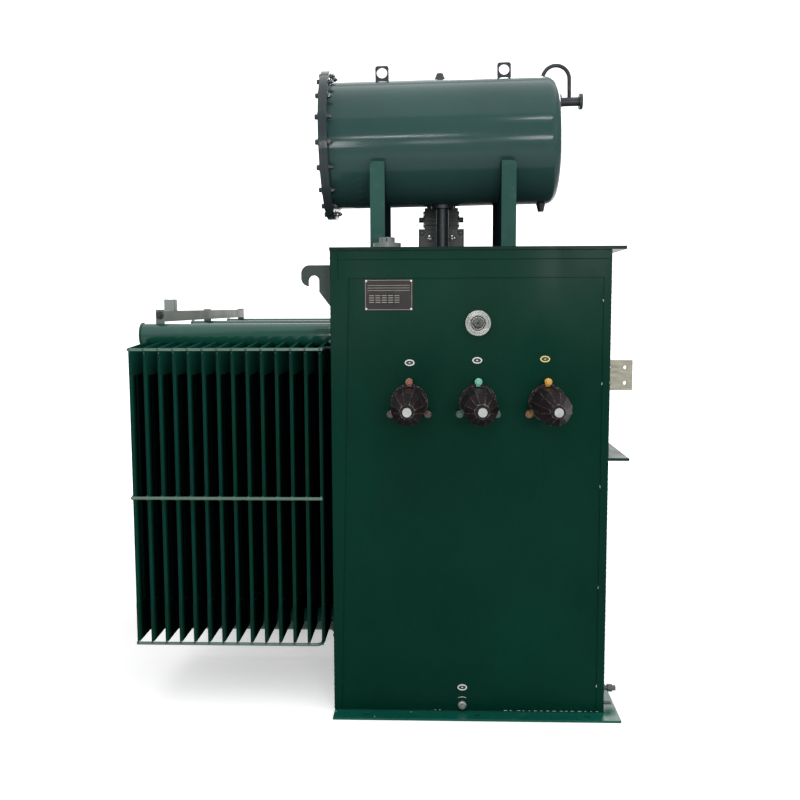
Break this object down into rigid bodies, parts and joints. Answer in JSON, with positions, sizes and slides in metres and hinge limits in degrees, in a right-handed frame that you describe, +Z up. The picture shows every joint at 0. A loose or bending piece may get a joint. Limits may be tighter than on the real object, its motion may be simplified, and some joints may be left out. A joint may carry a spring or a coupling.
{
  "type": "power transformer",
  "caption": "Oil-filled power transformer: box tank with wall bushings, panel radiators on one side and a cylindrical conservator above.",
  "frame": {"origin": "middle of the tank's footprint on the underside of the base plate", "axes": "+X to the low-voltage side, +Y from the bushing wall to the rear, +Z up"},
  "size_m": [1.901, 2.507, 2.4248],
  "materials": {
    "tank_green": "gloss",
    "base_green": "gloss",
    "core_steel": "bare laminated steel",
    "bushing_glaze": "gloss glaze",
    "clamp_copper": "satin",
    "clamp_green": "satin",
    "clamp_yellow": "satin",
    "bright_steel": "machined",
    "plate_brown": "satin",
    "panel_board": "matt board",
    "tinned_bar": "tinned",
    "fitting_grey": "painted casting",
    "grey_green": "satin",
    "radiator_green": "gloss",
    "pale_grey": "satin",
    "conservator_green": "gloss",
    "slate": "satin",
    "relay_grey": "painted casting"
  },
  "bodies": {
    "root": {"base_plate": "base_green", "front_wall": "tank_green", "rear_wall": "tank_green", "left_wall": "tank_green", "right_wall": "tank_green", "cover": "tank_green", "core_and_windings": "core_steel", "front_frame": "tank_green", "bushing_left": "bushing_glaze", "bushing_middle": "bushing_glaze", "bushing_right": "bushing_glaze", "bushing_clamps_left": "clamp_copper", "bushing_clamps_middle": "clamp_green", "bushing_clamps_right": "clamp_yellow", "bushing_terminals": "bright_steel", "oil_port": "bright_steel", "nameplate": "plate_brown", "earth_stud": "bright_steel", "lv_panel": "panel_board", "lv_flags": "tinned_bar", "side_shelf": "tank_green", "drain_valve": "fitting_grey", "lifting_hooks": "grey_green", "radiator_flanges": "radiator_green", "tie_beam": "grey_green", "beam_box": "pale_grey", "conservator_shell": "conservator_green", "conservator_cover": "conservator_green", "conservator_lugs": "slate", "conservator_plugs": "slate", "breather": "slate", "support_left": "conservator_green", "support_right": "conservator_green", "oil_pipe": "slate", "gas_relay": "relay_grey", "relief_valve": "pale_grey", "radiator_1_panels": "radiator_green", "radiator_1_headers": "radiator_green", "radiator_1_bars": "radiator_green", "radiator_2_panels": "radiator_green", "radiator_2_headers": "radiator_green", "radiator_2_bars": "radiator_green", "radiator_3_panels": "radiator_green", "radiator_3_headers": "radiator_green", "radiator_3_bars": "radiator_green"}
  },
  "joints": []
}
